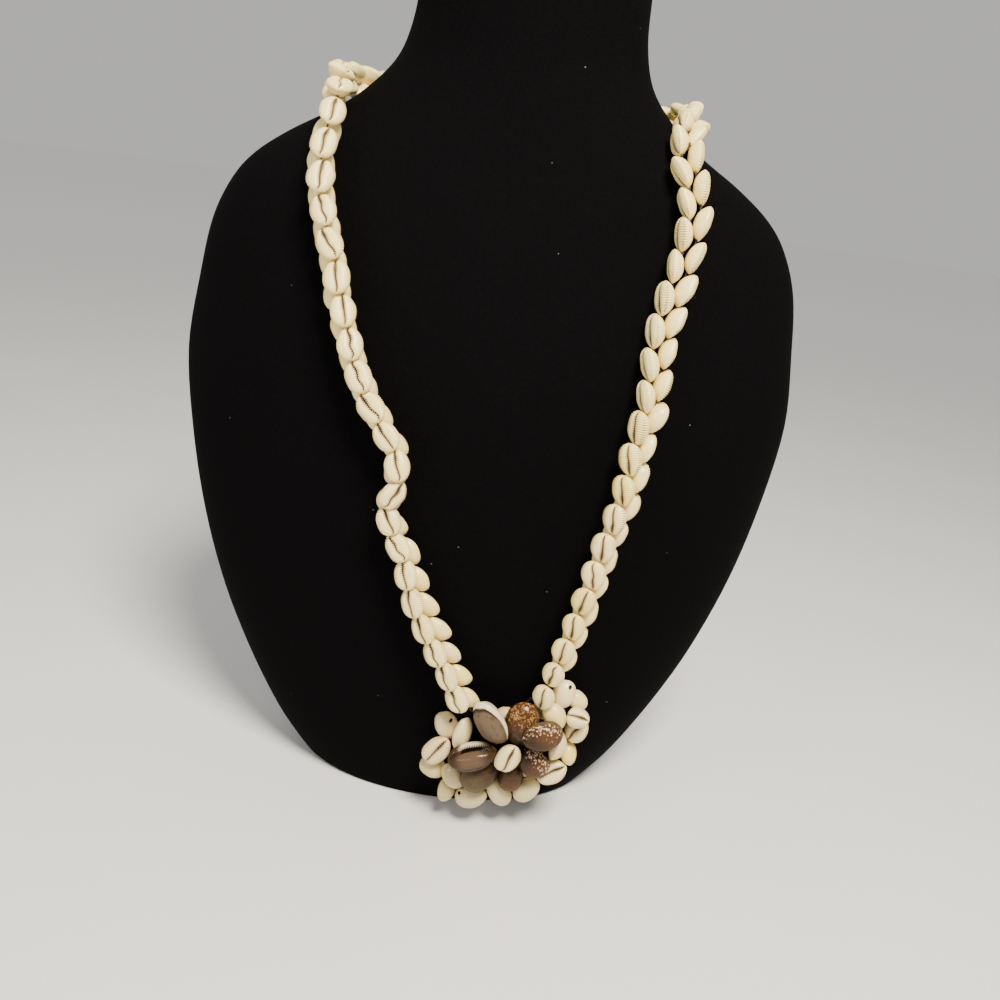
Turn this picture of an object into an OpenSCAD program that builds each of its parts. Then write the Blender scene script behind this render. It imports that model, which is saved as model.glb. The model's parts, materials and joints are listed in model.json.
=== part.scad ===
// Shell lei on a plain velvet neck bust, in millimetres.
// +Z is up, the front faces -Y, and the origin is the middle of the bust's foot.

/* [Cowries] */
// Length of a white cowrie
shell_len = 14.6; // [14:0.1:14.8]
// Width of a white cowrie
shell_wide = 11; // [10.6:0.1:11.6]
// Height of a white cowrie, from hump to lips
shell_high = 6.8; // [6.4:0.1:7.2]
// How far each shell's narrow end dips under its neighbour, in degrees
shingle = 12; // [10:1:13]

/* [Strands] */
// Shells in one row of the whole rope
row_count = 62; // [60:2:62]
// Distance of each row's thread from the middle of the rope
row_out = 1.95; // [1.95:0.05:2.2]
// Thickness of a thread
thread_d = 0.7; // [0.6:0.1:0.8]
// Drilled hole for the thread
drill_d = 1.6; // [1.5:0.1:1.8]

/* [Bust] */
// Sides of the bust's sections
bust_sides = 28; // [24:4:40]
// Height of the bust
bust_high = 396; // [396:1:400]

/* [Hidden] */
RIM_COUNT = 20;
PETALS = ["petal_tall_left", "petal_left", "petal_low_left", "petal_bottom", "petal_low_right",
    "petal_right", "petal_tall_right"];

// Columns of the bust's sections
HEIGHT = 0;
HALF_WIDTH = 1;
FRONT = 2;
BACK = 3;
SECTIONS = [
    // height, half width, depth in front, depth behind
    [0, 76, 42, 44],
    [20, 91, 47, 44],
    [55, 109, 53, 44],
    [106, 128, 59, 45],
    [160, 139, 61, 46],
    [212, 143, 59, 48],
    [250, 137, 54, 50],
    [280, 129, 48, 53],
    [303, 111, 43, 54],
    [327, 73, 39, 53],
    [349, 53, 38, 50],
    [379, 48, 40, 48],
    [bust_high, 47, 41, 47]
];

// Heights of the solid's rings, closer where the shoulders turn into the neck
RINGS = [0, 10, 26, 55, 90, 130, 170, 210, 245, 270, 288, 300, 311, 322, 333, 346, 362, 380, bust_high];

// The rope's route round the bust. Turn is counted from the front, minus towards the wearer's right.
ROUTE = [
    // height, turn, twist of the two rows
    [74, 5, -22],
    [100, -1, -25],
    [126, -7, -25],
    [143, -9, -10],
    [156, -12, 5],
    [168, -14, 20],
    [180, -11.5, 15],
    [193, -13, 8],
    [206, -17, 14],
    [218, -20, 16],
    [243, -25, 30],
    [269, -30, 20],
    [298, -39, 30],
    [311, -46, 36],
    [317, -52, 42],
    [321, -59, 48],
    [324, -68, 54],
    [326, -80, 54],
    [327, -92, 48],
    [327, -105, 38],
    [328, -122, 24],
    [329, -146, 10],
    [329, -180, 0],
    [329, -215, 10],
    [330, -240, 30],
    [330, -258, 50],
    [330, -273, 75],
    [329, -286, 95],
    [326, -298, 108],
    [321, -308, 112],
    [313, -315, 112],
    [303, -319, 108],
    [293, -322, 104],
    [282, -325, 98],
    [269, -327.5, 94],
    [249, -330, 90],
    [224, -331, 75],
    [202, -332.5, 60],
    [182, -333, 45],
    [163, -334.5, 38],
    [136, -335.5, 38],
    [107, -337, 38],
    [78, -338, 35]
];
STEPS = 8;

// A cowrie's form along its length, in shares of its half length, half width, hump and lip heights
LONG = 0;
WIDE = 1;
HUMP = 2;
LIP = 3;
FORM = [
    // along, width, hump, lips
    [-0.86, 0.62, 0.33, 0.62],
    [-0.50, 0.95, 0.86, 0.94],
    [-0.02, 1.00, 1.00, 1.00],
    [0.48, 0.86, 0.82, 0.80],
    [0.86, 0.54, 0.36, 0.36]
];
// Share of the height that lies above the widest line, towards the lips
LIP_SHARE = 0.34;
// Half width and depth of the mouth's groove, in shares of the half width and lip height
MOUTH_WIDE = 0.12;
MOUTH_DEEP = 0.6;
// Width and depth of the hump's shoulder, in shares of the half width and hump height
SHOULDER_WIDE = 0.76;
SHOULDER_DEEP = 0.62;
// Distance of the drilled hole above a cowrie's mid height, minus towards the hump
DRILL_AT = -1.2;
// Clearance of the back row from the velvet, and how much higher a dipped shell stands
REST_GAP = 0.35;
DIP_RISE = 1;

// The flower's back plane, in front of the bust's middle
FLOWER_BACK = 53.5;
// Columns of the flower's pieces
RIGHT = 0;
UP = 1;
OUT = 2;
BEARING = 3;
LIFT = 4;
ROLL = 5;
LENGTH = 6;
function size_of(row) = [row[LENGTH], row[LENGTH + 1], row[LENGTH + 2]];
FLOWER = [
    // right, up, out, bearing of the narrow end, lift of that end, roll, length, width, height
    [22.9, 66.4, 14.5, -58, -8, 205, 25, 14, 11],
    [17.6, 47.8, 16.8, 21, 0, -84, 24, 14, 12],
    [22, 35.8, 13.2, 52, 0, 180, 22.5, 15, 10],
    [36.5, 35.5, 11.3, 95, 8, 180, 18, 12, 9],
    [45.7, 47.4, 13.8, 135, 0, 180, 18, 14, 10],
    [48, 65.4, 18.4, -155, 6, 180, 19.5, 14.6, 9.6],
    [38, 66, 12, -93, 0, 180, 24, 16, 10],
    [33.5, 51, 16.2, 70, 0, 10, 15.5, 11.5, 7.8]
];
RIM = [
    // right, up, out, bearing of the narrow end, lift of that end, roll, length, width, height
    [2.8, 55, 4.6, -72, 0, 180, 15.2, 11, 7.4],
    [11.2, 53.8, 7.6, -99, 0, 130, 17.8, 10, 7.4],
    [0, 43.6, 7.6, 54, 0, -16, 17, 11.4, 7.4],
    [-1, 30.4, 4, -32, 0, 160, 14, 11, 7.2],
    [9.5, 29, 7.6, -59, 0, 180, 15.2, 11.2, 7.4],
    [7.2, 18.4, 4.2, -89, 0, 120, 14, 11, 7.2],
    [19, 18.9, 7.4, 15, 0, 150, 16, 11.4, 7.4],
    [32.6, 22.4, 6.8, -56, 0, 180, 16.5, 11.2, 7.4],
    [45.2, 26, 7, -123, 0, 180, 15.6, 11.2, 7.4],
    [44.4, 37.6, 4, 44, 0, 180, 12.5, 9.6, 6.6],
    [56, 39.5, 7, 33, 0, -28, 16, 11.4, 7.4],
    [62.2, 50.5, 6, -73, 30, 180, 12, 8, 6],
    [56.8, 54.8, 8.2, -104, 0, 90, 16, 10.6, 7.4],
    [64.8, 63.4, 4.8, 58, 0, -30, 13.5, 10.6, 7.2],
    [63.8, 72.4, 9.6, 9, 30, -50, 11.6, 9.6, 6.8],
    [62.4, 78, 3.4, -36, 10, 180, 11, 9, 6],
    [55.4, 82.3, 7, -92, 0, 180, 15.2, 10.8, 7.4],
    [52.6, 71.6, 10.3, -63, 0, 180, 15, 10.6, 7.2],
    [30.4, 63.5, 5.2, -83, 0, 180, 13, 10, 7],
    [47.6, 71.4, 4.8, -64, 0, 180, 12, 9, 6]
];
HEART = 7;
// Columns of the drilled holes that show in the rim
SHELL = 0;
TO_TIP = 1;
TO_SIDE = 2;
HOLES = [
    // number of the rim's shell, place towards its narrow end and side, in shares of its length and width
    [1, -0.26, -0.3],
    [7, -0.32, -0.2],
    [17, -0.36, -0.18]
];

// Vectors
function unit(v) = v / norm(v);
function flat_to(v, n) = unit(v - (v * n) * n);

// One section value at a height, on a smooth curve through the table
function share(row, col) = SECTIONS[row][col];
function slope(row, col) = let (lo = max(row - 1, 0), hi = min(row + 1, len(SECTIONS) - 1))
    (share(hi, col) - share(lo, col)) / (share(hi, HEIGHT) - share(lo, HEIGHT));
function row_under(z, row = 0) = row >= len(SECTIONS) - 2 || share(row + 1, HEIGHT) > z ? row
    : row_under(z, row + 1);
function section(z, col) = let (
        row = row_under(z),
        run = share(row + 1, HEIGHT) - share(row, HEIGHT),
        t = (z - share(row, HEIGHT)) / run
    )
    share(row, col) * (2 * t ^ 3 - 3 * t ^ 2 + 1) + slope(row, col) * run * (t ^ 3 - 2 * t ^ 2 + t)
    + share(row + 1, col) * (3 * t ^ 2 - 2 * t ^ 3) + slope(row + 1, col) * run * (t ^ 3 - t ^ 2);

// A point of the bust's skin, and the direction that leaves it
function skin(turn, z) = [section(z, HALF_WIDTH) * sin(turn),
    -section(z, cos(turn) > 0 ? FRONT : BACK) * cos(turn), z];
function skin_out(turn, z) = unit(cross(
    skin(turn + 1, z) - skin(turn - 1, z),
    skin(turn, z + 1) - skin(turn, z - 1)
));

// Catmull-Rom curve through the rows of a table
function curve(rows, k, t) = let (
        a = rows[max(k - 1, 0)],
        b = rows[k],
        c = rows[k + 1],
        d = rows[min(k + 2, len(rows) - 1)]
    )
    0.5 * (2 * b + (c - a) * t + (2 * a - 5 * b + 4 * c - d) * t ^ 2 + (3 * b - a - 3 * c + d) * t ^ 3);

// The rope's middle line, stood off the velvet by its back row
function stand_off(twist) = REST_GAP + (row_out + shell_high / 2 - DRILL_AT + DIP_RISE) * abs(cos(twist))
    + shell_wide / 2 * abs(sin(twist));
STOPS = [
    for (k = [0 : len(ROUTE) - 2], j = [0 : STEPS - 1]) curve(ROUTE, k, j / STEPS),
    ROUTE[len(ROUTE) - 1]
];
LINE = [for (p = STOPS) skin(p[1], p[0]) + stand_off(p[2]) * skin_out(p[1], p[0])];
OUTWARD = [for (p = STOPS) skin_out(p[1], p[0])];
function lengths(k = 0, sum = 0) = k >= len(LINE) - 1 ? [sum]
    : concat([sum], lengths(k + 1, sum + norm(LINE[k + 1] - LINE[k])));
RUN = lengths();
rope_len = RUN[len(RUN) - 1];
pitch = rope_len / row_count;
function column(list, axis) = [for (k = [0 : len(RUN) - 1]) [RUN[k], list[k][axis]]];
LINE_XYZ = [for (axis = [0 : 2]) column(LINE, axis)];
OUT_XYZ = [for (axis = [0 : 2]) column(OUTWARD, axis)];
TWISTS = column(STOPS, 2);
function along(s) = [for (axis = [0 : 2]) lookup(s, LINE_XYZ[axis])];
function heading(s) = unit(along(s + 2) - along(s - 2));
function row_dir(s) = let (
        ahead = heading(s),
        off = flat_to([for (axis = [0 : 2]) lookup(s, OUT_XYZ[axis])], ahead),
        twist = lookup(s, TWISTS)
    )
    off * cos(twist) + cross(ahead, off) * sin(twist);

// How far the back row runs ahead of the front row, in shares of the pitch
STAGGER = 0.42;

// Knots of a row's thread: one between each two shells. Side is 1 for the front row, -1 for the back row.
function stop(k, side) = (k - (side > 0 ? 0 : STAGGER)) * pitch;
function knot(k, side) = let (s = stop(k, side)) along(max(s, 0)) + min(s, 0) * heading(2)
    + side * row_out * row_dir(max(s, 2));

// A cowrie: mouth up, narrow end towards +X, its mid height on the XY plane
function ring(form, size) = let (
        x = form[LONG] * size[0] / 2,
        w = form[WIDE] * size[1] / 2,
        edge = size[2] * (0.5 - LIP_SHARE),
        lip = form[LIP] * size[2] * LIP_SHARE,
        hump = form[HUMP] * size[2] * (1 - LIP_SHARE)
    )
    [
        [x, 0, edge + lip * (1 - MOUTH_DEEP)],
        [x, MOUTH_WIDE * w, edge + lip],
        [x, w, edge],
        [x, SHOULDER_WIDE * w, edge - SHOULDER_DEEP * hump],
        [x, 0, edge - hump],
        [x, -SHOULDER_WIDE * w, edge - SHOULDER_DEEP * hump],
        [x, -w, edge],
        [x, -MOUTH_WIDE * w, edge + lip]
    ];
CORNERS = 8;
function tip(end, size) = [end * size[0] / 2, 0, size[2] * (0.5 - LIP_SHARE)];

module cowrie(size) {
    rings = [for (form = FORM) each ring(form, size)];
    last = len(FORM) - 1;
    wide_tip = len(FORM) * CORNERS;
    narrow_tip = wide_tip + 1;
    function at(k, j) = k * CORNERS + j % CORNERS;
    faces = concat(
        [for (k = [0 : last - 1], j = [0 : CORNERS - 1]) each [
            [at(k, j), at(k, j + 1), at(k + 1, j)],
            [at(k, j + 1), at(k + 1, j + 1), at(k + 1, j)]
        ]],
        [for (j = [0 : CORNERS - 1]) [at(0, j + 1), at(0, j), wide_tip]],
        [for (j = [0 : CORNERS - 1]) [at(last, j), at(last, j + 1), narrow_tip]]
    );
    polyhedron(concat(rings, [tip(-1, size), tip(1, size)]), faces);
}

// Moves a piece into a frame of three directions at a point
module placed(x_dir, y_dir, z_dir, at_point) {
    multmatrix([
        [x_dir[0], y_dir[0], z_dir[0], at_point[0]],
        [x_dir[1], y_dir[1], z_dir[1], at_point[1]],
        [x_dir[2], y_dir[2], z_dir[2], at_point[2]]
    ]) children();
}

// Small turns and sizes that differ from shell to shell
YAWS = rands(-11, 11, 2 * row_count, 9);
SIZES = rands(0.95, 1.02, 2 * row_count, 29);

// One drilled shell on its stretch of thread. Smaller shells sit in the tight bends.
module strung(k, side) {
    from = knot(k, side);
    to = knot(k + 1, side);
    ahead = unit(to - from);
    out = flat_to(side * row_dir(max(stop(k + 0.5, side), 2)), ahead);
    pick = 2 * k + (side > 0 ? 0 : 1);
    fit = SIZES[pick] * min(1, norm(to - from) / pitch);
    placed(ahead, cross(out, ahead), out, (from + to) / 2) difference() {
        rotate([0, 0, YAWS[pick]]) rotate([0, shingle, 0]) translate([0, 0, -DRILL_AT])
            scale(fit) cowrie([shell_len, shell_wide, shell_high]);
        rotate([0, 90, 0]) cylinder(h = 2 * shell_len, d = drill_d, center = true, $fn = 16);
    }
}

// Thread: a thin tube through a row's knots, closed behind the flower
THREAD_SIDES = 5;
FRONT_RETURN = [[41, -55, 75], [36, -54.2, 67], [24, -54.2, 63], [15, -55.5, 66]];
BACK_RETURN = [[44, -54, 74], [38, -54.2, 63], [22, -54.2, 59.5], [15, -55.5, 63]];
function thread_knots(side) = concat([for (k = [0 : row_count - (side > 0 ? 0 : 1)]) knot(k, side)],
    side > 0 ? FRONT_RETURN : BACK_RETURN);
module thread(side) {
    knots = thread_knots(side);
    n = len(knots);
    rings = [for (k = [0 : n - 1]) let (
            ahead = unit(knots[(k + 1) % n] - knots[(k + n - 1) % n]),
            across = flat_to(abs(ahead[2]) > 0.9 ? [0, 1, 0] : [0, 0, 1], ahead)
        )
        for (j = [0 : THREAD_SIDES - 1]) knots[k] + thread_d / 2 * (across * cos(j * 360 / THREAD_SIDES)
            + cross(ahead, across) * sin(j * 360 / THREAD_SIDES))];
    function at(k, j) = (k % n) * THREAD_SIDES + j % THREAD_SIDES;
    polyhedron(rings, [for (k = [0 : n - 1], j = [0 : THREAD_SIDES - 1]) each [
        [at(k, j), at(k, j + 1), at(k + 1, j)],
        [at(k, j + 1), at(k + 1, j + 1), at(k + 1, j)]
    ]]);
}

// The bust: rings of its skin from the foot to the top of the neck
module bust() {
    rings = [for (z = RINGS, j = [0 : bust_sides - 1]) skin(-j * 360 / bust_sides, z)];
    last = len(RINGS) - 1;
    function at(k, j) = k * bust_sides + j % bust_sides;
    color("#17161a") polyhedron(rings, concat(
        [for (k = [0 : last - 1], j = [0 : bust_sides - 1]) each [
            [at(k, j), at(k, j + 1), at(k + 1, j)],
            [at(k, j + 1), at(k + 1, j + 1), at(k + 1, j)]
        ]],
        [[for (j = [bust_sides - 1 : -1 : 0]) at(0, j)]],
        [[for (j = [0 : bust_sides - 1]) at(last, j)]]
    ));
}

module left_strand() {
    color("#efe6d0") for (k = [0 : row_count / 2 - 1], side = [1, -1]) strung(k, side);
}

module right_strand() {
    color("#efe6d0") for (k = [row_count / 2 : row_count - 1], side = [1, -1])
        if (side > 0 || k < row_count - 1) strung(k, side);
}

module in_flower(row) {
    translate([row[RIGHT], -FLOWER_BACK - row[OUT], row[UP]]) rotate([90, 0, 0])
        rotate([0, 0, row[BEARING]]) rotate([0, -row[LIFT], 0]) rotate([row[ROLL], 0, 0]) children();
}

module heart() {
    color("#f3ead6") in_flower(FLOWER[HEART]) cowrie(size_of(FLOWER[HEART]));
}

module petal(k) {
    color("#6a4f3c") in_flower(FLOWER[k]) cowrie(size_of(FLOWER[k]));
}

module rim(k) {
    size = size_of(RIM[k]);
    color("#efe6d0") in_flower(RIM[k]) difference() {
        cowrie(size);
        for (hole = HOLES) if (hole[SHELL] == k + 1)
            translate([hole[TO_TIP] * size[0], hole[TO_SIDE] * size[1], 0])
                cylinder(h = 2 * size[2], d = drill_d, center = true, $fn = 16);
    }
}

bust();
color("#3c342b") thread(1);  // front_thread
color("#3c342b") thread(-1);  // back_thread
left_strand();
right_strand();
heart();
for (k = [0 : len(PETALS) - 1]) petal(k);
for (k = [0 : RIM_COUNT - 1]) rim(k);
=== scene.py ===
"""Dresses a shell lei on its neck bust: strung cowries, flower, threads, velvet, stage and camera."""

import json
import math

import bmesh
import bpy
import numpy as np
from bpy.props import FloatProperty, FloatVectorProperty, IntProperty, PointerProperty
from mathutils import Matrix, Vector


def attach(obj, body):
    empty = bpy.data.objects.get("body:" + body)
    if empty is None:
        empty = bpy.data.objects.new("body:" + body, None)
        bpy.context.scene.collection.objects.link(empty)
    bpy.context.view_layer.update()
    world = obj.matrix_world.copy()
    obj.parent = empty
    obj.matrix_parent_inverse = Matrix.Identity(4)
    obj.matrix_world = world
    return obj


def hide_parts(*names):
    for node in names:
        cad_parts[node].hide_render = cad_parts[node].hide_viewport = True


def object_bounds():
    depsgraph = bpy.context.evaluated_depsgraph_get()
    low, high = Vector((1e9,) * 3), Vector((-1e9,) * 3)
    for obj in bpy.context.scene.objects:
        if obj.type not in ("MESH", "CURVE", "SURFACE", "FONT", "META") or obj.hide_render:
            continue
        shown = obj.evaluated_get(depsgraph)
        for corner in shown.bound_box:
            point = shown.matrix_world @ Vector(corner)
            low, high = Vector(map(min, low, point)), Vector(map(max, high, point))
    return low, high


bl_info = {
    "name": "Shell Lei",
    "version": (1, 0, 0),
    "blender": (4, 5, 0),
    "location": "3D View > Sidebar > Shell Lei",
    "description": "Builds the looks of a cowrie shell lei on a velvet neck bust",
    "category": "Object",
}

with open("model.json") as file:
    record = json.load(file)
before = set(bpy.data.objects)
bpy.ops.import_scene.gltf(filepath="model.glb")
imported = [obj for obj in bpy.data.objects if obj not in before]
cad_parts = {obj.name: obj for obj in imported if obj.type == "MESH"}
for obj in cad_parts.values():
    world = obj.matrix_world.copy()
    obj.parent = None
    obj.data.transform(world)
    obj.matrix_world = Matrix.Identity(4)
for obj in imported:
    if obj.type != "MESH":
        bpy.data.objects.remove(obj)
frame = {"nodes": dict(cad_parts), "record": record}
CAD_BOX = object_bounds()

BODY = "root"
MM = 0.001

BUST = "bust"
THREADS = ("front_thread", "back_thread")
# The strands, and the least and most that the mouths of their shells lean across, in half widths
STRANDS = {"left_strand": (0.15, 0.36), "right_strand": (-0.06, 0.12)}
HEART = "heart"
YELLOW_RIM = "rim_12"
# The flower's white shells whose cream is darkened as painted shade, those whose cream is paled as painted
# light, and by how much
RIM_TONES = {
    "dull_cowrie": (0.70, ("rim_4", "rim_5", "rim_6", "rim_7")),
    "pale_cowrie": (1.22, (HEART, "rim_2", "rim_11", "rim_13", "rim_14", "rim_15", "rim_16", "rim_17",
                           "rim_18")),
}
RIMS = sorted((n for n in frame["nodes"] if n.startswith("rim_")), key=lambda n: int(n.split("_")[1]))
PETALS = sorted(n for n in frame["nodes"] if n.startswith("petal_"))
# The first of the random draws of each group of shells
STRAND_SEED = 3
RIM_SEED = 40
PETAL_SEED = 80

# Corners of a solid closer than this are one corner
WELD = 1e-6
# Share of a half length past which a shell's last full section lies
END_REACH = 0.8
# Share of a cowrie's height that lies above its widest line, towards the lips
LIP_SHARE = 0.34
HUMP_SHARE = 1 - LIP_SHARE
# Powers that round a cowrie off towards its wide end and its narrow end, each of the place along and then of
# the whole
OUTLINE = ((2.6, 0.50), (1.9, 0.58))
LIPS = ((3.2, 0.55), (2.0, 0.75))
HUMP = ((2.4, 0.78), (2.4, 0.78))
# Drilled holes that show in the rim: place towards the narrow end and side, in shares of length and width
HOLES = {"rim_1": (-0.26, -0.3), "rim_7": (-0.32, -0.2), "rim_17": (-0.36, -0.18)}
HOLE_RADIUS = 0.8 * MM
HOLE_SIDES = 20

# A cowrie's section, from the slit over the lip and round to the hump: across in half widths, up in lip or
# hump heights, how much the slit's edge and the teeth's ridges reach it, and the stain of the mouth
SECTION = (
    # across, up, slit, ridge, stain
    (0.00, -0.30, 0.5, 0.0, 1.0),
    (0.00, 0.34, 0.8, 0.3, 1.0),
    (0.00, 0.68, 1.0, 1.0, 0.50),
    (0.06, 0.80, 1.0, 1.0, 0.06),
    (0.22, 0.95, 0.7, 0.5, 0.0),
    (0.46, 1.00, 0.5, 0.5, 0.0),
    (0.73, 0.74, 0.2, 0.8, 0.0),
    (0.93, 0.32, 0.0, 1.0, 0.0),
    (1.00, -0.02, 0.0, 0.9, 0.0),
    (0.95, -0.22, 0.0, 0.4, 0.0),
    (0.81, -0.57, 0.0, 0.0, 0.0),
    (0.52, -0.87, 0.0, 0.0, 0.0),
)
ACROSS, UPWARD, AT_SLIT, AT_RIDGE, STAIN = range(5)
# Places across the section: the slit's own edge lies nearer than the first, and the side past the second
SLIT_EDGE = 0.2
SIDE_EDGE = 0.8

# Least half opening of the mouth's slit, and how far the mouth stops short of each end, as a share of the
# length, so that the ridges fan out from it
SLIT_LEAST = 0.03 * MM
END_NOTCH = 0.07
# The slit opens most round this place along, over this reach, and its opening differs from shell to shell
SLIT_WIDEST = (0.45, 0.38)
SLIT_CHANCE = (0.7, 1.3)
# How much the slit closes at the ends and between which places along, between which places the teeth grow
# to their full reach, and the power by which the slit's lean fades across the lips
SLIT_CLOSING = 0.8
SLIT_CLOSES = (0.80, 1.0)
TEETH_GROW = (-0.3, 0.5)
LEAN_FADE = 1.5
# How far the slit hooks aside at the wide end, and waves at most, in half widths
HOOK = (0.04, 0.22)
SLIT_WAVE = 0.05
# Half openings of a white shell's slit all along and where it opens most, and how far it leans across
WHITE_MOUTH = {"slit": 0.017, "flare": 0.034, "lean": (0.05, 0.20)}

# Strengths of ridges, one drawn for each shell and then made a little weaker or stronger, the places along
# where the ridges and teeth fade, and how much more they notch the outline
RIDGES = (0.35, 0.6, 1.0, 1.4)
RIDGE_CHANCE = (0.8, 1.2)
RIDGE_FADE = (1.0, 0.82)
NOTCH = 1.5
# Most that a side swells, in half widths, and how many half waves it has
SIDE_SWELL = 0.025
SIDE_WAVES = 1.6
# Most that one lip stands above the other, round a place along and over a reach, and the least share of
# the ridges where it does
PLUMP = 0.3 * MM
PLUMP_PLACE = (0.2, 0.35)
PLUMP_RIDGED = 0.7
# Stain between the ridges, what is added at the slit, and the most of the worn patch at the narrow end
GROOVE_STAIN = 0.35
SLIT_STAIN = 0.40
WORN_STAIN = 0.30
# Least share of the ridges that is stained, and places along between which the worn patch begins and ends
# and between which the grooves and all stains fade
STAIN_RIDGED = 0.95
WORN_BEGINS = (0.15, 0.6)
WORN_ENDS = (0.97, 0.8)
GROOVE_FADE = (1.0, 0.85)
STAIN_FADE = (1.02, 0.90)
# Places along between which a petal's ledge falls towards the wide end
LEDGE = (-0.40, -0.75)
# Most that a strung shell turns in its seat, in the strand's face and about its own length
SWING = (0.11, 0.20)

# Rings of a cowrie from the wide end to the narrow end: closer at the ends, and four to a tooth between
END_RINGS = (0.995, 0.98, 0.955, 0.92)
TOOTHED = 0.88
RINGS_TO_A_TOOTH = 4

# Each petal's looks: colours of the hump, its narrow end and the margin, how far the hump's colour reaches
# down to the margin and back to the wide end, the dots' colour, spacing in mm and share, and how strongly the
# dots keep to the wide end and to the side
PETAL_LOOKS = {
    "petal_tall_left": ("grey", "fawn", "pale", (0.80, 0.86), "fawn", 1.4, 0.25, (0.0, 0.0)),
    "petal_left": ("umber", "umber", "rose", (0.70, 2.0), "fawn", 2.0, 0.15, (0.0, -0.6)),
    "petal_low_left": ("olive", "umber", "umber", (0.92, 2.0), "fawn", 1.8, 0.10, (0.0, 0.0)),
    "petal_bottom": ("chestnut", "umber", "umber", (0.92, 2.0), "fawn", 1.4, 0.45, (0.8, 0.0)),
    "petal_low_right": ("chestnut", "dark", "umber", (0.92, 2.0), "blush", 1.0, 0.85, (0.1, 1.0)),
    "petal_right": ("chestnut", "umber", "olive", (0.80, 0.95), "blush", 1.1, 0.90, (0.3, 0.7)),
    "petal_tall_right": ("bronze", "dark", "dark", (0.92, 2.0), "gold", 0.8, 0.85, (0.9, 0.1)),
}
# The petal whose far lip shows, pale with white teeth
PALE_LIPPED = "petal_left"
# Mouths of the petals, and the forms of the petals that differ
PETAL_MOUTH = {**WHITE_MOUTH, "slit": 0.06, "flare": 0.03}
PETAL_FORMS = {
    "petal_tall_left": {"ledge": 0.12, "tail": 0.14},
    PALE_LIPPED: {"slit": 0.11, "flare": 0.0, "swell": 0.18},
}
# Colours of the petals
SHADES = {
    "grey": (0.115, 0.077, 0.048),
    "umber": (0.034, 0.018, 0.008),
    "olive": (0.092, 0.064, 0.030),
    "rose": (0.098, 0.058, 0.034),
    "pale": (0.740, 0.610, 0.400),
    "fawn": (0.125, 0.083, 0.050),
    "dark": (0.022, 0.011, 0.006),
    "chestnut": (0.080, 0.038, 0.015),
    "bronze": (0.060, 0.023, 0.007),
    "gold": (0.330, 0.165, 0.058),
    "blush": (0.420, 0.255, 0.165),
    # Near black painted into the petals' mouths as their shade
    "mouth_shade": (0.008, 0.005, 0.003),
}
LINT = (0.09, 0.085, 0.08)
SHEEN_TINT = (0.55, 0.52, 0.55)

# Steps in the velvet's skin from one of the solid's corners to the next, up and round it, and over its edges
SKIN_STEPS_UP = 5
SKIN_STEPS_ROUND = 4
EDGE_STEPS = 5

# The floor's size, and how it pales between two distances from the foot
FLOOR_RADIUS = 8.0
FLOOR_SIDES = 96
FLOOR_FADE = (0.4, 3.0)
FAR_FLOOR = (0.975, 0.965, 0.945)
# Each lamp's place, size, tint and the setting that holds its power
LAMPS = {
    "key_light": ((0.20, -0.55, 0.98), 0.32, (1.0, 0.94, 0.82), "key_power"),
    "fill_light": ((-0.85, -0.85, 0.55), 0.35, (1.0, 0.98, 0.95), "fill_power"),
}
SKY_TINT = (0.95, 0.94, 0.92)
SENSOR_WIDTH = 36
NEAR_CLIP = 0.01


# Settings

def shade(label, words, value):
    """A colour that a user may change."""
    return FloatVectorProperty(name=label, description=words, default=value, size=3, min=0, max=1,
                               subtype="COLOR")


def length(label, words, value, low, high):
    """A length in metres that a user may change."""
    return FloatProperty(name=label, description=words, default=value, min=low, max=high,
                         subtype="DISTANCE", unit="LENGTH", precision=5)


def angle(label, words, degrees):
    """An angle that a user may change, given in degrees."""
    return FloatProperty(name=label, description=words, default=math.radians(degrees), subtype="ANGLE",
                         unit="ROTATION")


def power(label, words, value):
    """A lamp's power in watts that a user may change."""
    return FloatProperty(name=label, description=words, default=value, min=0, max=100, subtype="POWER",
                         unit="POWER")


class CowrieSettings(bpy.types.PropertyGroup):
    """Form and colours of the white cowries."""

    teeth: IntProperty(name="Teeth", description="Teeth on each lip", default=13, min=6, max=16)
    tooth_reach: length("Tooth Reach", "How far a tooth stands into the mouth", 0.42 * MM, 0.0, 0.6 * MM)
    ridge_high: length("Ridge Height", "Height of the ridges that run from the teeth", 0.15 * MM, 0.0,
                       0.4 * MM)
    cream: shade("Cream", "Colour of the lips and sides", (0.950, 0.790, 0.315))
    hump: shade("Hump", "Colour of the hump", (0.900, 0.730, 0.290))
    # The flower's two creams are darker copies of the strands' cream and hump: painted shade for the dimmer
    # light on the flower
    flower: shade("Flower Cream", "Colour of the white shells of the flower", (0.660, 0.535, 0.270))
    flower_hump: shade("Flower Hump", "Colour of the humps of the flower's white shells",
                       (0.600, 0.480, 0.240))
    amber: shade("Amber", "Colour between the teeth", (0.500, 0.350, 0.160))
    stain: shade("Mouth Stain", "Colour inside the mouth", (0.115, 0.068, 0.028))
    warm: shade("Warm Tint", "Tint of the yellower shells", (0.900, 0.725, 0.230))
    rose: shade("Rose Tint", "Tint of the pinker shells", (0.870, 0.665, 0.360))
    yellow: shade("Yellow Shell", "Colour of the one yellow shell of the rim", (0.820, 0.640, 0.030))


class PetalSettings(bpy.types.PropertyGroup):
    """Form of the flower's brown cowries."""

    teeth: IntProperty(name="Teeth", description="Teeth on each lip", default=24, min=8, max=30)
    tooth_reach: length("Tooth Reach", "How far a tooth stands into the mouth", 0.6 * MM, 0.0, 1 * MM)
    ridge_high: length("Ridge Height", "Height of the ridges that run from the teeth", 0.10 * MM, 0.0,
                       0.4 * MM)
    gloss: FloatProperty(name="Gloss", description="Strength of the clear outer gloss", default=0.30, min=0,
                         max=1)


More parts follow.
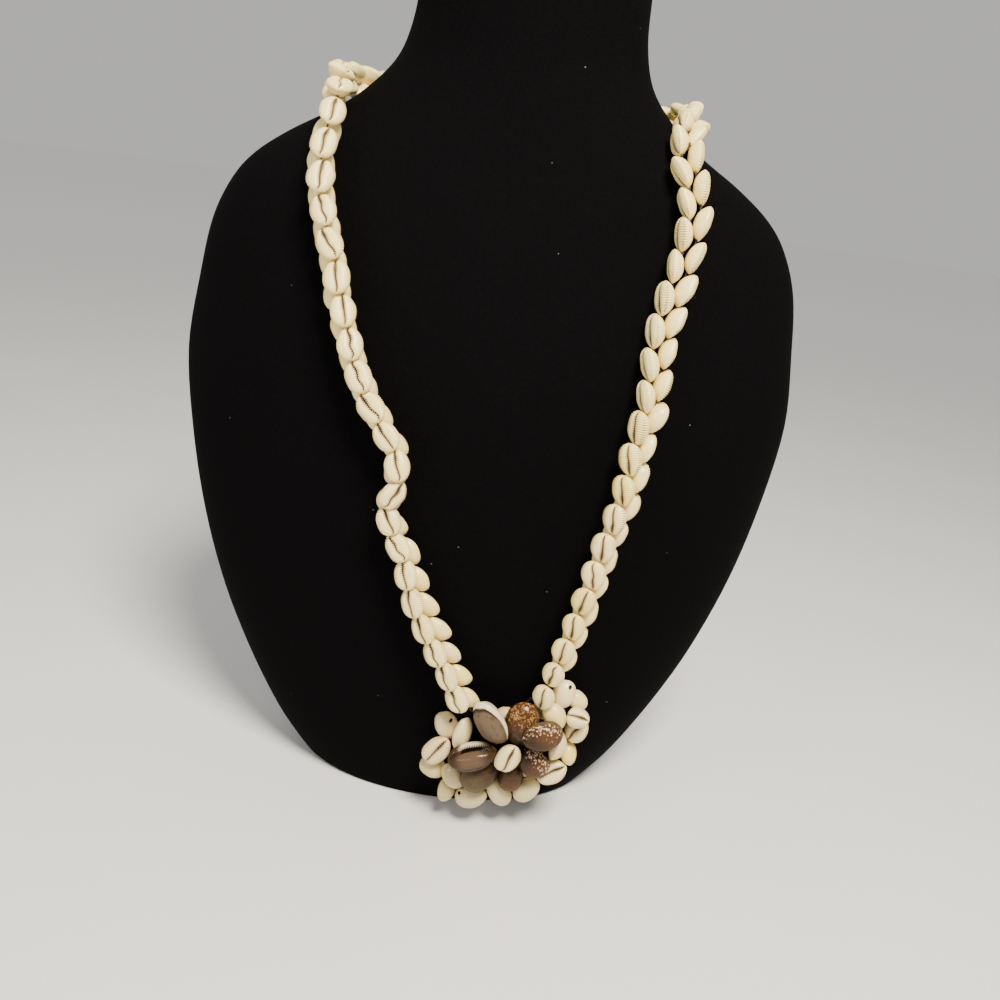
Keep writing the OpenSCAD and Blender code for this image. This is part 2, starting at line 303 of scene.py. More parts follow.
class BustSettings(bpy.types.PropertyGroup):
    """Velvet of the neck bust."""

    velvet: shade("Velvet", "Colour of the pile", (0.0018, 0.0016, 0.0018))
    pile: length("Pile Clumps", "Size of the pile's clumps", 1.4 * MM, 0.4 * MM, 5 * MM)
    edge: length("Edge Radius", "Rounding of the neck's top edge", 4 * MM, 1 * MM, 8 * MM)
    foot_edge: length("Foot Radius", "Rounding of the foot's edge", 1.5 * MM, 0.5 * MM, 4 * MM)


class ThreadSettings(bpy.types.PropertyGroup):
    """Threads that the shells are strung on."""

    cotton: shade("Cotton", "Colour of the thread", (0.045, 0.034, 0.024))
    twist: length("Twist", "Length of one twist of the yarn", 0.6 * MM, 0.2 * MM, 2 * MM)


class StageSettings(bpy.types.PropertyGroup):
    """Floor, lights and camera."""

    floor: shade("Floor", "Colour of the floor", (0.800, 0.790, 0.770))
    key_power: power("Key Light", "Power of the main light", 26.0)
    fill_power: power("Fill Light", "Power of the fill light", 4.0)
    sky_power: FloatProperty(name="Surroundings", description="Strength of the even light all round",
                             default=0.56, min=0, max=2)
    camera_away: length("Camera Distance", "Level distance from the bust's axis to the camera", 424.2 * MM,
                        0.3, 1.0)
    camera_high: length("Camera Height", "Height of the camera above the foot", 307.65 * MM, 0.1, 1.0)
    camera_turn: angle("Camera Turn", "Angle round the bust from its front", 1.9)
    camera_pan: angle("Camera Pan", "Turn of the view from the bust's axis", -1.83)
    camera_slope: angle("Camera Slope", "Angle of the view below level", 20.2)
    camera_roll: angle("Camera Roll", "Turn of the picture about the view", 7.8)
    lens: FloatProperty(name="Lens", description="Focal length in millimetres on a 36 mm sensor",
                        default=32.4, min=10, max=200)


# Where the shells sit

def loose_solids(node):
    """The node's separate solids, each as an array of its corners."""
    mesh = bmesh.new()
    mesh.from_mesh(frame["nodes"][node].data)
    bmesh.ops.remove_doubles(mesh, verts=mesh.verts, dist=WELD)
    mesh.verts.ensure_lookup_table()
    seen = [False] * len(mesh.verts)
    solids = []
    for start in mesh.verts:
        if seen[start.index]:
            continue
        seen[start.index] = True
        reached = [start]
        for corner in reached:
            for edge in corner.link_edges:
                other = edge.other_vert(corner)
                if not seen[other.index]:
                    seen[other.index] = True
                    reached.append(other)
        solids.append(np.array([v.co[:] for v in reached]))
    mesh.free()
    return solids


def farthest_pair(points):
    """The two points that lie farthest apart."""
    gaps = np.linalg.norm(points[:, None] - points[None], axis=2)
    return np.unravel_index(gaps.argmax(), gaps.shape)


class Seat:
    """Where a cowrie sits: its middle, its directions to the narrow end, side and mouth, and its sizes."""

    def __init__(self, corners):
        a, b = farthest_pair(corners)
        self.middle = (corners[a] + corners[b]) / 2
        along = corners[b] - corners[a]
        self.length = np.linalg.norm(along)
        along = along / self.length
        flat = corners - self.middle
        flat = flat - np.outer(flat @ along, along)
        c, d = farthest_pair(flat)
        side = flat[d] - flat[c]
        self.width = np.linalg.norm(side)
        side = side / self.width
        up = np.cross(along, side)
        heights = (corners - self.middle) @ up
        self.height = heights.max() - heights.min()
        if heights.max() > -heights.min():
            up, side = -up, -side
        # The narrow end is the one whose last full section is the narrower
        reach = (corners - self.middle) @ along / (self.length / 2)
        breadth = np.abs((corners - self.middle) @ side)
        if breadth[reach > END_REACH].max() > breadth[reach < -END_REACH].max():
            along, side = -along, -side
        self.turn = np.array([along, side, up])

    def place(self, local):
        """Points of the shell's own frame, moved to where the shell sits."""
        return self.middle + local @ self.turn


def seats(node):
    """The seats of a node's shells."""
    found = [Seat(corners) for corners in loose_solids(node)]
    if not found:
        raise RuntimeError(f"{node} holds no shell to dress")
    return found


# The cowrie's form

def smooth(value, low, high):
    """0 below low, 1 above high and a smooth step between."""
    t = np.clip((value - low) / (high - low), 0, 1)
    return t * t * (3 - 2 * t)


def ring_places(teeth):
    """Places of the rings along a cowrie, from -1 at the wide end to 1 at the narrow end."""
    ends = np.array(END_RINGS)
    return np.concatenate([-ends, np.linspace(-TOOTHED, TOOTHED, teeth * RINGS_TO_A_TOOTH + 1), ends[::-1]])


def bell(t, place, reach):
    """1 at a place along and less on both sides of it."""
    return np.exp(-((t - place) / reach) ** 2)


def fullness(t, wide, narrow):
    """1 where a cowrie is fullest and 0 at its ends, rounded off in its own way towards each."""
    place = np.abs(t)
    return np.where(t < 0, (1 - place ** wide[0]) ** wide[1], (1 - place ** narrow[0]) ** narrow[1])


def each_corner(*values):
    """Values along the rings and round them, spread over all the corners, with a row for each corner."""
    return np.stack(np.broadcast_arrays(*values), axis=-1).reshape(-1, len(values))


def ring_faces(around, rings):
    """Four-sided faces between closed rings of corners."""
    return [(k * around + j, k * around + (j + 1) % around, (k + 1) * around + (j + 1) % around,
             (k + 1) * around + j) for k in range(rings - 1) for j in range(around)]


class CowrieForm:
    """A toothed cowrie of any size on one layout of corners, so that many can be joined in one mesh."""

    def __init__(self, teeth, tooth_reach, ridge_high):
        self.teeth = teeth
        self.tooth_reach = tooth_reach
        self.ridge_high = ridge_high
        self.t = ring_places(teeth)
        rows = np.array(SECTION)
        top = np.array([[0.0, -1.0, 0.0, 0.0, 0.0]])
        self.section = np.concatenate([rows, top, rows[:0:-1]])
        self.across, self.share = self.section[:, ACROSS], self.section[:, UPWARD]
        self.ridged = self.section[:, AT_RIDGE]
        self.side = np.concatenate([np.ones(len(rows)), [0.0], -np.ones(len(rows) - 1)])
        self.side[0] = 0
        self.faces = self.make_faces()

    def make_faces(self):
        """Faces between the rings, and the fans that close the two ends."""
        around, rings = len(self.section), len(self.t)
        faces = ring_faces(around, rings)
        wide_tip = rings * around
        narrow_tip = wide_tip + 1
        last = (rings - 1) * around
        faces += [(wide_tip, (j + 1) % around, j) for j in range(around)]
        faces += [(narrow_tip, last + j, last + (j + 1) % around) for j in range(around)]
        return faces

    def corners(self, seat, dice, slit, flare, lean, ledge=0.0, tail=0.0, swell=0.0):
        """Corners of one shell in its own frame, with its zones and stains for the material.

        The slit's half opening and its flare are shares of the width, and the lean is in half widths.
        A ledge lowers the hump's wide end, a tail draws out the narrow end and a swell fills out one
        side, as shares of the hump's height and of that half.
        """
        t = self.t[:, None]
        # The teeth of one lip stand between those of the other, and their ridges run out over the lips
        phase = self.teeth * math.pi * (t / TOOTHED + 1)
        bite = np.cos(phase + math.pi / 2 * self.side) * smooth(np.abs(t), *RIDGE_FADE)
        ridge = self.ridge_high * dice.choice(RIDGES) * dice.uniform(*RIDGE_CHANCE)
        y = self.sideways(seat, dice, slit, flare, lean, bite, ridge)
        z = self.heights(seat, dice, ledge, bite, ridge)
        x = seat.length / 2 * t * (1 - END_NOTCH * (1 - self.across) * (self.share > 0))
        tip = seat.length / 2 * (1 - END_NOTCH / 2)
        local = np.concatenate([each_corner(x, y, z), [[-tip, 0, 0], [tip, 0, 0]]])
        local = local * np.where(local > 0, (1 + tail, 1 + swell, 1), 1)
        stain, groove = self.stains(dice, bite)
        chance = dice.uniform(0, 1)
        zone = np.concatenate([each_corner(t, self.share, chance), [[-1, 0, chance], [1, 0, chance]]])
        lip = np.concatenate([each_corner(stain, groove, self.side * self.across), np.zeros((2, 3))])
        return local, zone, lip

    def sideways(self, seat, dice, slit, flare, lean, bite, ridge):
        """How far the corners lie aside, from the toothed edge of the slit out to the outline."""
        t, across = self.t[:, None], self.across
        middle = seat.width / 2 * self.slit_course(t, dice, lean)
        opening = seat.width * (slit + flare * bell(t, *SLIT_WIDEST)) * dice.uniform(*SLIT_CHANCE)
        opening = opening * (1 - SLIT_CLOSING * smooth(np.abs(t), *SLIT_CLOSES))
        reach = self.tooth_reach * (0.5 + 0.5 * smooth(t, *TEETH_GROW))
        slit_edge = opening * self.section[:, AT_SLIT] - reach * self.ridged * (across < SLIT_EDGE) * bite
        # Each side swells a little in its own way, and the ridges notch it
        lumps = [dice.uniform(0, SIDE_SWELL) * np.sin(math.pi * (SIDE_WAVES * t + dice.uniform(-1, 1)))
                 for _ in "ab"]
        half = seat.width / 2 * fullness(t, *OUTLINE) * (1 + np.where(self.side > 0, *lumps))
        half = half + NOTCH * ridge * self.ridged * (across > SIDE_EDGE) * bite
        y = self.side * (np.maximum(slit_edge, SLIT_LEAST) * (1 - across) + half * across)
        return y + middle * (1 - across) ** LEAN_FADE

    def heights(self, seat, dice, ledge, bite, ridge):
        """How far the corners lie above the widest line, in the lips, or below it, in the hump."""
        t = self.t[:, None]
        lips = seat.height * LIP_SHARE * fullness(t, *LIPS)
        hump = seat.height * HUMP_SHARE * fullness(t, *HUMP) * (1 - ledge * smooth(t, *LEDGE))
        in_hump = (self.share < 0) & (self.section[:, STAIN] < 1)
        z = self.share * np.where(in_hump, hump, lips) + ridge * self.ridged * bite * fullness(t, *OUTLINE)
        plump = dice.uniform(0, PLUMP) * bell(t, *PLUMP_PLACE)
        return z + plump * (self.ridged > PLUMP_RIDGED) * (self.side < 0)

    def stains(self, dice, bite):
        """Stains in the mouth, between the ridges and in a worn patch at the narrow end, and the grooves."""
        t = self.t[:, None]
        groove = self.ridged * (0.5 - 0.5 * bite) * smooth(np.abs(t), *GROOVE_FADE)
        worn = dice.uniform(0, WORN_STAIN) * smooth(t, *WORN_BEGINS) * smooth(t, *WORN_ENDS)
        between = (GROOVE_STAIN + SLIT_STAIN * (self.across < SLIT_EDGE)) * (0.5 - 0.5 * bite)
        stain = self.section[:, STAIN] + (self.ridged > STAIN_RIDGED) * (between + worn)
        return np.clip(stain, 0, 1) * smooth(np.abs(t), *STAIN_FADE), groove

    def slit_course(self, t, dice, lean):
        """The slit's way in half widths: it leans, hooks aside at the wide end and waves a little."""
        hook = dice.uniform(*HOOK)
        course = dice.uniform(*lean) * (t - 0.3 * np.sin(math.pi * t))
        course = course + hook * (0.35 - smooth(-t, 0.0, 0.9))
        course = course + dice.uniform(-SLIT_WAVE, SLIT_WAVE) * np.sin(math.tau * t)
        return course * (1 - t ** 4)


def swing(dice, most):
    """A small turn of a shell in its seat, in the strand's face and about its own length."""
    yaw, roll = dice.uniform(-1, 1, 2) * most
    return np.array(Matrix.Rotation(yaw, 3, "Z") @ Matrix.Rotation(roll, 3, "X")).T


def add_object(name, data):
    """A new object in the scene."""
    made = bpy.data.objects.new(name, data)
    bpy.context.scene.collection.objects.link(made)
    return made


def shell_mesh(name, form, places, dice, shape, most_swing=(0, 0)):
    """One mesh of a cowrie on each place, with the attributes that its material reads."""
    corners, zones_of, lips_of, owns, faces = [], [], [], [], []
    start = 0
    for seat in places:
        local, zone, lip = form.corners(seat, dice, **shape)
        corners.append(seat.place(local @ swing(dice, most_swing)))
        zones_of.append(zone)
        lips_of.append(lip)
        owns.append(local + dice.uniform(-0.5, 0.5, 3))
        faces += [tuple(start + c for c in face) for face in form.faces]
        start += len(local)
    mesh = bpy.data.meshes.new(name)
    mesh.from_pydata(np.concatenate(corners).tolist(), [], faces)
    for label, values in (("own", owns), ("zone", zones_of), ("lip", lips_of)):
        layer = mesh.attributes.new(label, "FLOAT_VECTOR", "POINT")
        layer.data.foreach_set("vector", np.concatenate(values).astype(np.float32).ravel())
    mesh.polygons.foreach_set("use_smooth", [True] * len(mesh.polygons))
    mesh.validate()
    mesh.update()
    return add_object(name, mesh)


def settle(piece, material, slot, *nodes):
    """Gives a piece its material, hangs it on the body and hides the nodes that it stands in for."""
    if material is not None:
        piece.data.materials.append(material)
    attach(piece, BODY)
    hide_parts(*nodes)


def drill(piece, seat, to_tip, to_side, hole_wall_shade):
    """Cuts a rim shell's drilled hole through it. The hole's wall takes the given material of painted shade.
    """
    cutter_mesh = bpy.data.meshes.new("drill")
    build = bmesh.new()
    bmesh.ops.create_cone(build, cap_ends=True, segments=HOLE_SIDES, radius1=HOLE_RADIUS,
                          radius2=HOLE_RADIUS, depth=2 * seat.height)
    build.to_mesh(cutter_mesh)
    build.free()
    cutter_mesh.materials.append(hole_wall_shade)
    cutter = add_object("drill", cutter_mesh)
    spot = seat.place(np.array([[to_tip * seat.length, to_side * seat.width, 0]]))[0]
    turn = Matrix(seat.turn.tolist()).transposed().to_4x4()
    cutter.matrix_world = Matrix.Translation(Vector(spot)) @ turn
    cut = piece.modifiers.new("hole", "BOOLEAN")
    cut.operation = "DIFFERENCE"
    cut.solver = "EXACT"
    cut.material_mode = "TRANSFER"
    cut.object = cutter
    bpy.context.view_layer.update()
    seen = piece.evaluated_get(bpy.context.evaluated_depsgraph_get())
    drilled = bpy.data.meshes.new_from_object(seen)
    if len(drilled.polygons) <= len(piece.data.polygons):
        raise RuntimeError(f"the hole of {piece.name} wasn't cut")
    piece.modifiers.clear()
    piece.data = drilled
    bpy.data.objects.remove(cutter)
    bpy.data.meshes.remove(cutter_mesh)


# Materials

class Wiring:
    """A material's nodes, joined up in the order that a colour is worked out."""

    def __init__(self, name):
        self.material = bpy.data.materials.new(name)
        self.material.use_nodes = True
        self.tree = self.material.node_tree
        self.shader = next(n for n in self.tree.nodes if n.type == "BSDF_PRINCIPLED")

    def put(self, socket, value):
        """Sets a socket to a value, or joins another socket to it."""
        if isinstance(value, bpy.types.NodeSocket):
            self.tree.links.new(value, socket)
        elif socket.type == "RGBA" and len(value) == 3:
            socket.default_value = (*value, 1)
        else:
            socket.default_value = value

    def node(self, kind, **values):
        """A node whose input sockets are set by name."""
        made = self.tree.nodes.new(kind)
        for key, value in values.items():
            self.put(made.inputs[key.replace("_", " ")], value)
        return made

    def attribute(self, name):
        """What one of the mesh's attributes holds."""
        made = self.tree.nodes.new("ShaderNodeAttribute")
        made.attribute_name = name
        return made.outputs["Vector"]

    def noise(self, place, size, detail=2.0, roughness=0.5):
        """Soft noise whose patches measure about size metres."""
        return self.node("ShaderNodeTexNoise", Vector=place, Scale=1 / size, Detail=detail,
                         Roughness=roughness).outputs["Fac"]

    def cells(self, place, size):
        """Distance to the nearest of many scattered points, about size metres apart."""
        made = self.node("ShaderNodeTexVoronoi", Vector=place, Scale=1 / size)
        return made.outputs["Distance"]

    def step(self, value, low, high):
        """0 at low, 1 at high and a smooth step between. Low may be the larger."""
        made = self.node("ShaderNodeMapRange", Value=value, From_Min=min(low, high), From_Max=max(low, high),
                         To_Min=0.0 if low < high else 1.0, To_Max=1.0 if low < high else 0.0)
        made.interpolation_type = "SMOOTHSTEP"
        return made.outputs["Result"]

    def span(self, value, low, high):
        """A value from 0 to 1 spread over a range."""
        return self.node("ShaderNodeMapRange", Value=value, To_Min=low, To_Max=high).outputs["Result"]

    def sum_up(self, operation, first, second):
        """Arithmetic on two values."""
        made = self.tree.nodes.new("ShaderNodeMath")
        made.operation = operation
        self.put(made.inputs[0], first)
        self.put(made.inputs[1], second)
        return made.outputs[0]

    def times(self, first, second):
        """One value times another."""
        return self.sum_up("MULTIPLY", first, second)

    def plus(self, first, second):
        """One value added to another."""
        return self.sum_up("ADD", first, second)

    def mix(self, share, first, second):
        """A colour between two colours."""
        made = self.tree.nodes.new("ShaderNodeMix")
        made.data_type = "RGBA"
        self.put(made.inputs[0], share)
        self.put(made.inputs[6], first)
        self.put(made.inputs[7], second)
        return made.outputs[2]

    def bump(self, height, distance, strength=1.0):
        """Relief from a height."""
        made = self.node("ShaderNodeBump", Height=height, Distance=distance, Strength=strength)
        self.put(self.shader.inputs["Normal"], made.outputs["Normal"])

    def finish(self, **values):
        """Sets the shader's own sockets by name."""
        for key, value in values.items():
            self.put(self.shader.inputs[key.replace("_", " ")], value)
        return self.material


def scaled(colour, share):
    """A colour made darker or paler by a share."""
    return tuple(share * v for v in colour)


def zones(wires):
    """The shell's place along, height and chance number, and its stain, groove and signed way round."""
    zone = wires.node("ShaderNodeSeparateXYZ", Vector=wires.attribute("zone")).outputs
    lip = wires.node("ShaderNodeSeparateXYZ", Vector=wires.attribute("lip")).outputs
    return (*zone[:3], *lip[:3])


def white_shell(name, settings, base, hump, warmth=0.5):
    """Glossy cream shell: paler base, warmer hump, stained teeth, and each shell a little different."""
    wires = Wiring(name)
    own = wires.attribute("own")
    along, level, chance, stain, groove, _ = zones(wires)
    blotches = wires.noise(own, 4 * MM)
    grain = wires.noise(own, 0.7 * MM, detail=3.0)
    colour = wires.mix(wires.step(level, 0.1, -0.7), base, hump)
    # Some shells are yellower, some pinker, and a few clearly yellow
    yellowing = wires.times(wires.step(chance, 0.55, 1.0), wires.span(blotches, 0.2, 2 * warmth))
    colour = wires.mix(yellowing, colour, settings.warm)
    pinking = wires.times(wires.step(chance, 0.40, 0.0), wires.span(blotches, 1.2 * warmth, 0.2))
    colour = wires.mix(pinking, colour, settings.rose)
    colour = wires.mix(wires.times(wires.step(chance, 0.94, 0.96), 0.35), colour, settings.yellow)
    # Darker ends, a faint grain and a few specks
    ends = wires.times(wires.step(wires.sum_up("ABSOLUTE", along, 0.0), 0.80, 1.0), 0.5)
    colour = wires.mix(ends, colour, settings.amber)
    colour = wires.mix(wires.times(wires.step(grain, 0.50, 0.75), 0.3), colour, settings.hump)
    specks = wires.times(wires.step(wires.cells(own, 2.4 * MM), 0.13, 0.07), 0.6)
    colour = wires.mix(specks, colour, settings.amber)
    # Amber between the ridges and at the mouth, brown inside it
    tinted = wires.times(groove, wires.span(wires.noise(own, 6 * MM), -0.30, 0.60))
    colour = wires.mix(tinted, colour, settings.amber)
    spread = wires.times(stain, wires.span(blotches, 0.7, 1.3))
    colour = wires.mix(wires.step(spread, 0.02, 0.45), colour, settings.amber)
    colour = wires.mix(wires.step(spread, 0.35, 0.90), colour, settings.stain)
    wires.bump(wires.plus(grain, wires.times(blotches, 2.0)), 0.04 * MM, 0.5)
    return wires.finish(Base_Color=colour, Roughness=wires.span(grain, 0.24, 0.44), Coat_Weight=0.3,
                        Coat_Roughness=0.18, Subsurface_Weight=0.08, Subsurface_Radius=(0.9, 0.6, 0.4),
                        Subsurface_Scale=1 * MM)


def hole_lining(stain):
    """Rough brown wall of a drilled hole, painted dark as the shade in its depth."""
    wires = Wiring("hole_lining")
    place = wires.node("ShaderNodeTexCoord").outputs["Object"]
    shade_mottle = wires.noise(place, 0.3 * MM, detail=4.0)
    colour = wires.mix(shade_mottle, scaled(stain, 0.4), stain)
    return wires.finish(Base_Color=colour, Roughness=0.85)


def petal_shell(node, gloss):
    """Glossy brown shell of the flower: a clouded hump, a margin of its own colour, dots, some with pale
    centres that are partly painted glints, and a mouth painted near black as its shade.
    """
    hump, narrow, margin, reach, mottle, spacing, share, keep = PETAL_LOOKS[node]
    wires = Wiring(node + "_shell")
    own = wires.attribute("own")
    along, level, _, stain, groove, round_by = zones(wires)
    clouds = wires.noise(own, 5 * MM, detail=3.0)
    grain = wires.noise(own, 0.6 * MM, detail=3.0)
    smudges = wires.noise(own, 1.9 * MM, detail=3.0, roughness=0.65)
    ripple = wires.plus(along, clouds)
    colour = wires.mix(wires.step(ripple, 0.0, 1.1), SHADES[hump], SHADES[narrow])
    colour = wires.mix(wires.times(wires.step(clouds, 0.45, 0.75), 0.30), colour, SHADES["fawn"])
    colour = wires.mix(wires.times(wires.step(smudges, 0.50, 0.70), 0.45), colour, SHADES["dark"])
    # The dots fill the part of the hump that the look names, thinning towards its edge
    to_wide, to_side = keep
    part = wires.plus(wires.times(along, -to_wide), wires.times(round_by, to_side))
    part = wires.plus(part, wires.span(clouds, -0.5, 0.5))
    part = wires.step(part, -0.25, 0.45)
    size = wires.times(wires.times(wires.step(smudges, 0.30, 0.60), part), 0.55)
    nearness = wires.sum_up("SUBTRACT", size, wires.cells(own, spacing * MM))
    dots = wires.step(nearness, -0.10, 0.08)
    colour = wires.mix(wires.times(dots, share), colour, SHADES[mottle])
    if mottle == "blush":
        # Paler centres of the pale dots: partly the shell's own spots, partly painted glints of light
        pale_centres_and_painted_glints = wires.times(wires.step(nearness, 0.16, 0.30), share)
        colour = wires.mix(pale_centres_and_painted_glints, colour, SHADES["pale"])
    colour = petal_margin(wires, colour, margin, along, level, clouds, reach)
    if node == PALE_LIPPED:
        colour, stain = pale_lip(wires, colour, along, level, stain, groove, round_by, clouds)
    # The mouth painted near black: painted shade in its depth
    colour = wires.mix(wires.step(stain, 0.25, 0.65), colour, SHADES["mouth_shade"])
    relief = wires.plus(wires.times(grain, 0.3), wires.times(dots, 0.6))
    wires.bump(wires.plus(relief, wires.times(clouds, 5.0)), 0.08 * MM, 0.6)
    return wires.finish(Base_Color=colour, Roughness=wires.span(grain, 0.24, 0.46), Coat_Weight=gloss,
                        Coat_Roughness=0.05, Specular_IOR_Level=0.0)


def petal_margin(wires, colour, margin, along, level, clouds, reach):
    """The margin rings the base and closes the wide end, with a dark crescent of painted shade inside it
    where it's pale.
    """
    down, back = reach
    sunk = wires.times(wires.plus(level, 1.0), 1 / down)
    behind = wires.times(wires.sum_up("MINIMUM", along, 0.0), 1 / back)
    spread = wires.plus(wires.times(sunk, sunk), wires.times(behind, behind))
    spread = wires.plus(spread, wires.span(clouds, -0.12, 0.12))
    colour = wires.mix(wires.step(spread, 0.92, 1.08), colour, SHADES[margin])
    if margin != "pale":
        return colour
    outer = wires.times(wires.step(spread, 1.5, 3.2), 0.45)
    colour = wires.mix(outer, colour, SHADES["fawn"])
    # A dark crescent inside the pale margin: painted shade of the gap between the margin and the dome
    gap_shade = wires.times(wires.step(spread, 0.58, 0.84), wires.step(spread, 0.98, 0.90))
    gap_shade = wires.times(gap_shade, wires.step(along, -0.15, -0.50))
    return wires.mix(wires.times(gap_shade, 0.9), colour, SHADES["dark"])


def pale_lip(wires, colour, along, level, stain, groove, round_by, clouds):
    """Darker ends, and the far lip's middle pale with darker lines between its teeth."""
    ends = wires.step(wires.sum_up("ABSOLUTE", along, 0.0), 0.25, 0.80)
    colour = wires.mix(ends, colour, SHADES["umber"])
    drift = wires.plus(along, wires.span(clouds, -0.2, 0.2))
    window = wires.times(wires.step(drift, -0.60, -0.30), wires.step(drift, 0.75, 0.35))
    lip = wires.times(wires.step(round_by, 0.0, 0.02), wires.step(level, -0.10, 0.2))
    lip = wires.times(lip, window)
    colour = wires.mix(lip, colour, SHADES["pale"])
    colour = wires.mix(wires.times(lip, groove), colour, SHADES["fawn"])
    return colour, wires.times(stain, window)


def velvet(settings):
    """Black velvet: a deep pile in soft clumps, with a faint sheen and a few specks of lint."""
    wires = Wiring("black_velvet")
    place = wires.node("ShaderNodeTexCoord").outputs["Object"]
    nap = wires.noise(place, settings.pile, detail=4.0, roughness=0.6)
    drift = wires.noise(place, 40 * MM)
    lint = wires.step(wires.cells(place, 14 * MM), 0.028, 0.020)
    colour = wires.mix(nap, scaled(settings.velvet, 0.55), scaled(settings.velvet, 2.2))
    colour = wires.mix(wires.times(drift, 0.5), colour, settings.velvet)
    colour = wires.mix(lint, colour, LINT)
    wires.bump(nap, 0.25 * MM, 0.6)
    return wires.finish(Base_Color=colour, Roughness=wires.span(nap, 0.82, 1.0), Specular_IOR_Level=0.02,
                        Sheen_Weight=0.005, Sheen_Roughness=0.5, Sheen_Tint=SHEEN_TINT)


def cotton(settings):
    """Twisted cotton thread."""
    wires = Wiring("cotton_thread")
    place = wires.node("ShaderNodeTexCoord").outputs["Object"]
    yarn = wires.tree.nodes.new("ShaderNodeTexWave")
    yarn.bands_direction = "DIAGONAL"
    wires.put(yarn.inputs["Vector"], place)
    wires.put(yarn.inputs["Scale"], 1 / (math.tau * settings.twist))
    wires.put(yarn.inputs["Distortion"], 1.5)
    fuzz = wires.noise(place, 0.2 * MM, detail=4.0)
    colour = wires.mix(yarn.outputs["Fac"], scaled(settings.cotton, 0.55), settings.cotton)
    wires.bump(wires.plus(yarn.outputs["Fac"], fuzz), 0.08 * MM)
    return wires.finish(Base_Color=colour, Roughness=wires.span(fuzz, 0.75, 0.95))


def studio_floor(settings):
    """Plain pale floor with a faint mottle, paler far off so that it meets the light round it softly."""
    wires = Wiring("studio_floor")
    place = wires.node("ShaderNodeTexCoord").outputs["Object"]
    mottle = wires.noise(place, 90 * MM, detail=5.0)
    colour = wires.mix(mottle, scaled(settings.floor, 0.96), settings.floor)
    away = wires.tree.nodes.new("ShaderNodeVectorMath")
    away.operation = "LENGTH"
    wires.put(away.inputs[0], place)
    colour = wires.mix(wires.step(away.outputs["Value"], *FLOOR_FADE), colour, FAR_FLOOR)
    return wires.finish(Base_Color=colour, Roughness=wires.span(mottle, 0.55, 0.65))


# The bust's smooth form

def smooth_curve(points, steps, closed):
    """More points on a Catmull-Rom curve through the first axis of an array."""
    if closed:
        before, after, later = np.roll(points, 1, 0), np.roll(points, -1, 0), np.roll(points, -2, 0)
        here = points
    else:
        here, after = points[:-1], points[1:]
        before = np.concatenate([2 * points[:1] - points[1:2], points[:-2]])
        later = np.concatenate([points[2:], 2 * points[-1:] - points[-2:-1]])
    parts = []
    for k in range(steps):
        u = k / steps
        parts.append(0.5 * (2 * here + (after - before) * u
                            + (2 * before - 5 * here + 4 * after - later) * u ** 2
                            + (3 * here - before - 3 * after + later) * u ** 3))
    dense = np.stack(parts, axis=1).reshape(-1, *points.shape[1:])
    return dense if closed else np.concatenate([dense, points[-1:]])


def skin_rings(node):
    """The node's corners as level rings, lowest first, each in order round the vertical."""
    corners = np.array([v.co[:] for v in frame["nodes"][node].data.vertices])
    corners = np.unique(corners.round(6), axis=0)
    rings = []
    for z in np.unique(corners[:, 2]):
        ring = corners[corners[:, 2] == z]
        rings.append(ring[np.argsort(np.arctan2(ring[:, 1], ring[:, 0]))])
    if len({len(ring) for ring in rings}) != 1:
        raise RuntimeError(f"{node} isn't made of like rings")
    return np.array(rings)


def rounded_edge(ring, radius, upward):
    """Rings that turn a level ring's edge inwards over a radius, outermost first."""
    centre = ring.mean(0)
    reach = ring - centre
    reach = reach / np.linalg.norm(reach, axis=1)[:, None]
    rings = []
    for k in range(EDGE_STEPS + 1):
        a = math.pi / 2 * k / EDGE_STEPS
        rings.append(ring - reach * radius * (1 - math.cos(a))
                     + np.array([0, 0, upward * radius * (math.sin(a) - 1)]))
    return rings


def velvet_form(edge, foot_edge):
    """The bust's skin as rings, with rounded edges at the foot and the top of the neck."""
    rings = smooth_curve(skin_rings(BUST), SKIN_STEPS_UP, closed=False)
    rings = np.stack([smooth_curve(ring, SKIN_STEPS_ROUND, closed=True) for ring in rings])
    low, high = rings[0][:, 2].mean(), rings[-1][:, 2].mean()
    middle = [r for r in rings if low + foot_edge < r[:, 2].mean() < high - edge]
    return rounded_edge(rings[0], foot_edge, -1)[::-1] + middle + rounded_edge(rings[-1], edge, 1)


# Operators

class SHELL_LEI_OT_velvet_bust(bpy.types.Operator):
    """Cover the neck bust in black velvet"""

    bl_idname = "shell_lei.velvet_bust"
    bl_label = "Velvet Bust"

    def execute(self, context):
        settings = context.scene.lei_bust
        rings = velvet_form(settings.edge, settings.foot_edge)
        around = len(rings[0])
        last = (len(rings) - 1) * around
        faces = ring_faces(around, len(rings))
        faces.append(tuple(reversed(range(around))))
        faces.append(tuple(last + j for j in range(around)))
        mesh = bpy.data.meshes.new("velvet_bust")
        mesh.from_pydata(np.concatenate(rings).tolist(), [], faces)
        mesh.polygons.foreach_set("use_smooth", [len(p.vertices) == 4 for p in mesh.polygons])
        settle(add_object("velvet_bust", mesh), velvet(settings), "velvet", BUST)
        return {"FINISHED"}


class SHELL_LEI_OT_threads(bpy.types.Operator):
    """Give the two threads their twisted cotton"""

    bl_idname = "shell_lei.threads"
    bl_label = "Threads"

    def execute(self, context):
        material = cotton(context.scene.lei_thread)
        for name in THREADS:
            node = frame["nodes"][name]
            node.data.materials.clear()
            node.data.materials.append(material)
        return {"FINISHED"}


